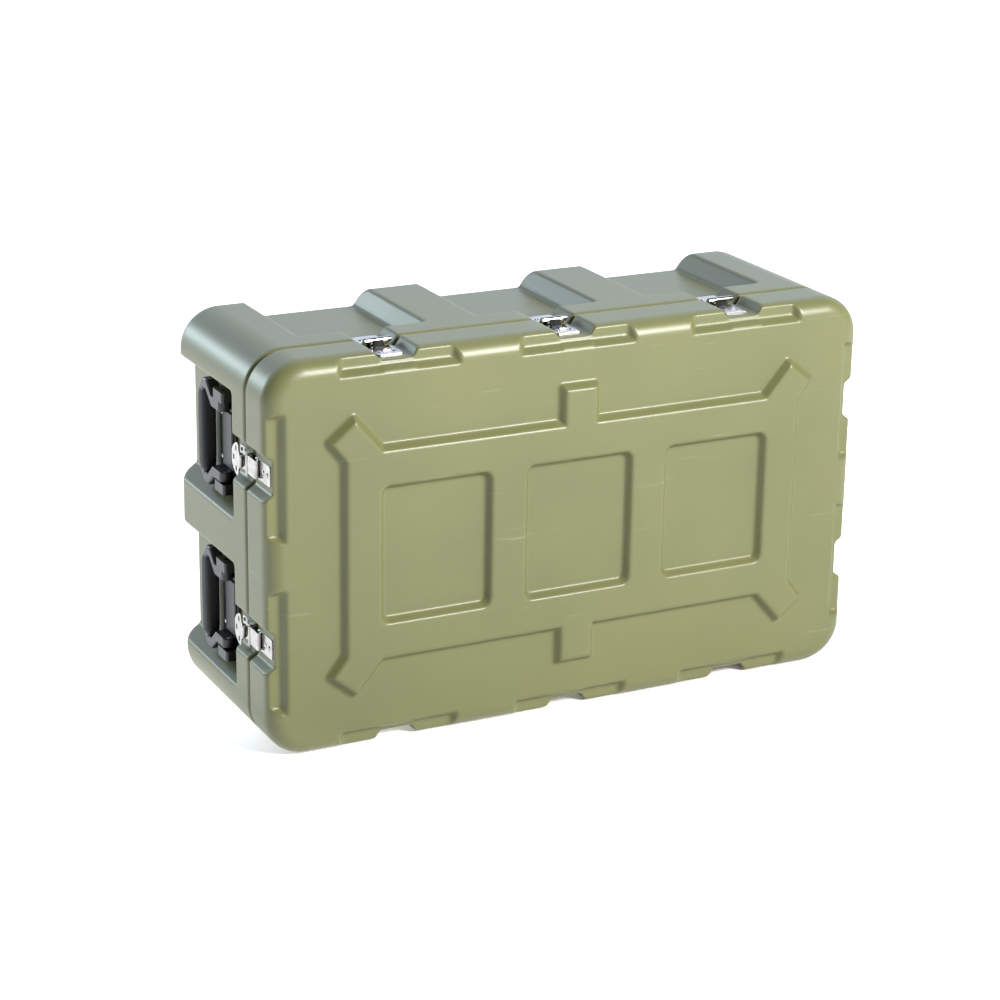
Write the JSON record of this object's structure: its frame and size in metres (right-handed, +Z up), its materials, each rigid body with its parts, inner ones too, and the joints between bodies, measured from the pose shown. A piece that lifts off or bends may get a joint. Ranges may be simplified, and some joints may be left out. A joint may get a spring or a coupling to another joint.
{
  "type": "hard equipment case",
  "caption": "Wide hard plastic transport case with ribbed body, hinged lid with raised frame, twist latches and folding end handles.",
  "frame": {"origin": "middle of the box's bottom face, on the surface that the case stands on", "axes": "+X along the longest side, +Y from the lid to the back of the body, +Z up from the latched long side to the hinged long side"},
  "size_m": [0.87, 0.3336, 0.528],
  "materials": {
    "shell": "olive green moulded polyethylene, satin",
    "steel": "polished stainless steel",
    "handle": "black glass-filled nylon",
    "grip": "textured black rubber",
    "gasket": "soft black sealing rubber"
  },
  "bodies": {
    "case": {"body_shell": "shell", "body_rivets": "steel", "hinge_pins": "steel", "handle_pins": "steel", "hinge_body_leaf_west": "steel", "hinge_body_leaf_middle": "steel", "hinge_body_leaf_east": "steel", "latch_base_bottom_west": "steel", "latch_base_bottom_middle": "steel", "latch_base_bottom_east": "steel", "latch_base_left_upper": "steel", "latch_base_left_lower": "steel", "latch_base_right_upper": "steel", "latch_base_right_lower": "steel", "handle_bracket_left_upper": "handle", "handle_bracket_left_lower": "handle", "handle_bracket_right_upper": "handle", "handle_bracket_right_lower": "handle"},
    "lid": {"lid_shell": "shell", "lid_gasket": "gasket", "lid_rivets": "steel", "hinge_lid_leaf_west": "steel", "hinge_lid_leaf_middle": "steel", "hinge_lid_leaf_east": "steel", "latch_keeper_bottom_west": "steel", "latch_keeper_bottom_middle": "steel", "latch_keeper_bottom_east": "steel", "latch_keeper_left_upper": "steel", "latch_keeper_left_lower": "steel", "latch_keeper_right_upper": "steel", "latch_keeper_right_lower": "steel"},
    "claw_bottom_west": {"latch_claw_bottom_west": "steel"},
    "cam_bottom_west": {"latch_cam_bottom_west": "steel"},
    "wing_bottom_west": {"latch_wing_bottom_west": "steel"},
    "claw_bottom_middle": {"latch_claw_bottom_middle": "steel"},
    "cam_bottom_middle": {"latch_cam_bottom_middle": "steel"},
    "wing_bottom_middle": {"latch_wing_bottom_middle": "steel"},
    "claw_bottom_east": {"latch_claw_bottom_east": "steel"},
    "cam_bottom_east": {"latch_cam_bottom_east": "steel"},
    "wing_bottom_east": {"latch_wing_bottom_east": "steel"},
    "claw_left_upper": {"latch_claw_left_upper": "steel"},
    "cam_left_upper": {"latch_cam_left_upper": "steel"},
    "wing_left_upper": {"latch_wing_left_upper": "steel"},
    "claw_left_lower": {"latch_claw_left_lower": "steel"},
    "cam_left_lower": {"latch_cam_left_lower": "steel"},
    "wing_left_lower": {"latch_wing_left_lower": "steel"},
    "claw_right_upper": {"latch_claw_right_upper": "steel"},
    "cam_right_upper": {"latch_cam_right_upper": "steel"},
    "wing_right_upper": {"latch_wing_right_upper": "steel"},
    "claw_right_lower": {"latch_claw_right_lower": "steel"},
    "cam_right_lower": {"latch_cam_right_lower": "steel"},
    "wing_right_lower": {"latch_wing_right_lower": "steel"},
    "handle_left_upper": {"handle_bail_left_upper": "handle", "handle_grip_left_upper": "grip"},
    "handle_left_lower": {"handle_bail_left_lower": "handle", "handle_grip_left_lower": "grip"},
    "handle_right_upper": {"handle_bail_right_upper": "handle", "handle_grip_right_upper": "grip"},
    "handle_right_lower": {"handle_bail_right_lower": "handle", "handle_grip_right_lower": "grip"}
  },
  "joints": [
    {"name": "lid_hinge", "type": "hinge", "parent": "case", "child": "lid", "pos_m": [0, -0.0822, 0.5244], "axis": [-1, 0, 0], "range_deg": [0, 100]},
    {"name": "turn_bottom_west", "type": "hinge", "parent": "case", "child": "cam_bottom_west", "pos_m": [-0.25333, -0.0562, 0.005], "axis": [0, 0, -1], "range_deg": [0, 180]},
    {"name": "claw_bottom_west", "type": "hinge", "parent": "case", "child": "claw_bottom_west", "pos_m": [-0.25333, -0.0742, 0.0059], "axis": [1, 0, 0], "range_deg": [0, 12]},
    {"name": "wing_bottom_west", "type": "hinge", "parent": "cam_bottom_west", "child": "wing_bottom_west", "pos_m": [-0.25333, -0.0612, 0.0022], "axis": [-1, 0, 0], "range_deg": [0, 90]},
    {"name": "turn_bottom_middle", "type": "hinge", "parent": "case", "child": "cam_bottom_middle", "pos_m": [0, -0.0562, 0.005], "axis": [0, 0, -1], "range_deg": [0, 180]},
    {"name": "claw_bottom_middle", "type": "hinge", "parent": "case", "child": "claw_bottom_middle", "pos_m": [0, -0.0742, 0.0059], "axis": [1, 0, 0], "range_deg": [0, 12]},
    {"name": "wing_bottom_middle", "type": "hinge", "parent": "cam_bottom_middle", "child": "wing_bottom_middle", "pos_m": [0, -0.0612, 0.0022], "axis": [-1, 0, 0], "range_deg": [0, 90]},
    {"name": "turn_bottom_east", "type": "hinge", "parent": "case", "child": "cam_bottom_east", "pos_m": [0.25333, -0.0562, 0.005], "axis": [0, 0, -1], "range_deg": [0, 180]},
    {"name": "claw_bottom_east", "type": "hinge", "parent": "case", "child": "claw_bottom_east", "pos_m": [0.25333, -0.0742, 0.0059], "axis": [1, 0, 0], "range_deg": [0, 12]},
    {"name": "wing_bottom_east", "type": "hinge", "parent": "cam_bottom_east", "child": "wing_bottom_east", "pos_m": [0.25333, -0.0612, 0.0022], "axis": [-1, 0, 0], "range_deg": [0, 90]},
    {"name": "turn_left_upper", "type": "hinge", "parent": "case", "child": "cam_left_upper", "pos_m": [-0.43, -0.0562, 0.38], "axis": [-1, 0, 0], "range_deg": [0, 180]},
    {"name": "claw_left_upper", "type": "hinge", "parent": "case", "child": "claw_left_upper", "pos_m": [-0.4291, -0.0742, 0.38], "axis": [0, 0, -1], "range_deg": [0, 12]},
    {"name": "wing_left_upper", "type": "hinge", "parent": "cam_left_upper", "child": "wing_left_upper", "pos_m": [-0.4328, -0.0612, 0.38], "axis": [0, 0, 1], "range_deg": [0, 90]},
    {"name": "turn_left_lower", "type": "hinge", "parent": "case", "child": "cam_left_lower", "pos_m": [-0.43, -0.0562, 0.148], "axis": [-1, 0, 0], "range_deg": [0, 180]},
    {"name": "claw_left_lower", "type": "hinge", "parent": "case", "child": "claw_left_lower", "pos_m": [-0.4291, -0.0742, 0.148], "axis": [0, 0, -1], "range_deg": [0, 12]},
    {"name": "wing_left_lower", "type": "hinge", "parent": "cam_left_lower", "child": "wing_left_lower", "pos_m": [-0.4328, -0.0612, 0.148], "axis": [0, 0, 1], "range_deg": [0, 90]},
    {"name": "turn_right_upper", "type": "hinge", "parent": "case", "child": "cam_right_upper", "pos_m": [0.43, -0.0562, 0.38], "axis": [1, 0, 0], "range_deg": [0, 180]},
    {"name": "claw_right_upper", "type": "hinge", "parent": "case", "child": "claw_right_upper", "pos_m": [0.4291, -0.0742, 0.38], "axis": [0, 0, 1], "range_deg": [0, 12]},
    {"name": "wing_right_upper", "type": "hinge", "parent": "cam_right_upper", "child": "wing_right_upper", "pos_m": [0.4328, -0.0612, 0.38], "axis": [0, 0, -1], "range_deg": [0, 90]},
    {"name": "turn_right_lower", "type": "hinge", "parent": "case", "child": "cam_right_lower", "pos_m": [0.43, -0.0562, 0.148], "axis": [1, 0, 0], "range_deg": [0, 180]},
    {"name": "claw_right_lower", "type": "hinge", "parent": "case", "child": "claw_right_lower", "pos_m": [0.4291, -0.0742, 0.148], "axis": [0, 0, 1], "range_deg": [0, 12]},
    {"name": "wing_right_lower", "type": "hinge", "parent": "cam_right_lower", "child": "wing_right_lower", "pos_m": [0.4328, -0.0612, 0.148], "axis": [0, 0, -1], "range_deg": [0, 90]},
    {"name": "handle_left_upper", "type": "hinge", "parent": "case", "child": "handle_left_upper", "pos_m": [-0.421, 0.0258, 0.38], "axis": [0, 0, 1], "range_deg": [0, 90]},
    {"name": "handle_left_lower", "type": "hinge", "parent": "case", "child": "handle_left_lower", "pos_m": [-0.421, 0.0258, 0.148], "axis": [0, 0, 1], "range_deg": [0, 90]},
    {"name": "handle_right_upper", "type": "hinge", "parent": "case", "child": "handle_right_upper", "pos_m": [0.421, 0.0258, 0.38], "axis": [0, 0, -1], "range_deg": [0, 90]},
    {"name": "handle_right_lower", "type": "hinge", "parent": "case", "child": "handle_right_lower", "pos_m": [0.421, 0.0258, 0.148], "axis": [0, 0, -1], "range_deg": [0, 90]}
  ],
  "couplings": [
    {"joint": "claw_bottom_west", "follows": "turn_bottom_west", "ratio": 0.066667},
    {"joint": "claw_bottom_middle", "follows": "turn_bottom_middle", "ratio": 0.066667},
    {"joint": "claw_bottom_east", "follows": "turn_bottom_east", "ratio": 0.066667},
    {"joint": "claw_left_upper", "follows": "turn_left_upper", "ratio": 0.066667},
    {"joint": "claw_left_lower", "follows": "turn_left_lower", "ratio": 0.066667},
    {"joint": "claw_right_upper", "follows": "turn_right_upper", "ratio": 0.066667},
    {"joint": "claw_right_lower", "follows": "turn_right_lower", "ratio": 0.066667}
  ]
}
